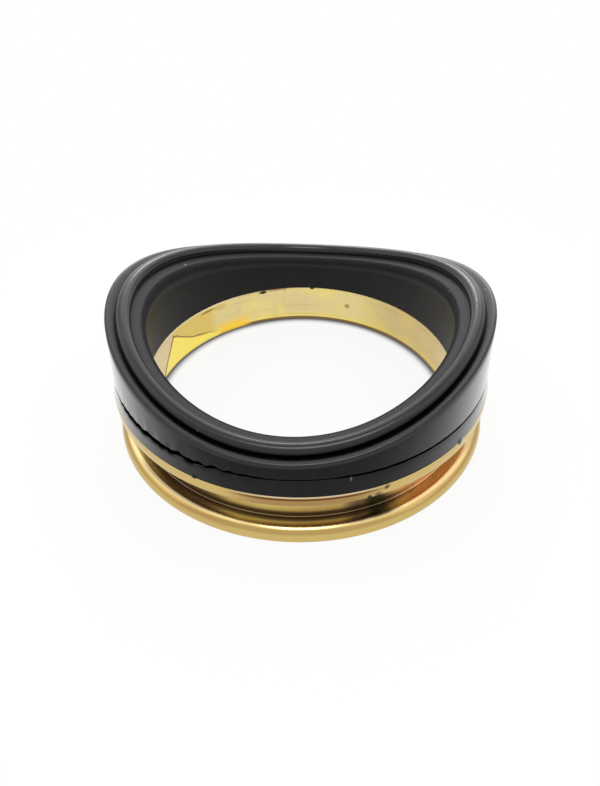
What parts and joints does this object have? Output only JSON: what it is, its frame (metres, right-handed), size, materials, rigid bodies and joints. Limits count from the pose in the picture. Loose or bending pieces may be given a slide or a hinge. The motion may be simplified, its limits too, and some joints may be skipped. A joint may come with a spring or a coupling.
{
  "type": "port seal",
  "caption": "Port seal of a rotary valve: turned brass ring with an outer O-ring groove, and a bonded black rubber seal whose saddle-shaped top carries a raised half-round bead.",
  "frame": {"origin": "centre of the brass ring's flat bottom face, on the port's axis", "axes": "+Z along the port's axis, from the brass ring up to the rubber saddle; the rotor that the saddle fits turns about an axis along Y, so the saddle is highest at +X and -X"},
  "size_m": [0.092, 0.092, 0.0334],
  "materials": {
    "brass": "fine-turned, lightly tarnished and stained in the bore",
    "rubber": "moulded black nitrile, smooth satin, with a trimmed parting line"
  },
  "bodies": {
    "root": {"brass_ring": "brass", "rubber_seal": "rubber"}
  },
  "joints": []
}
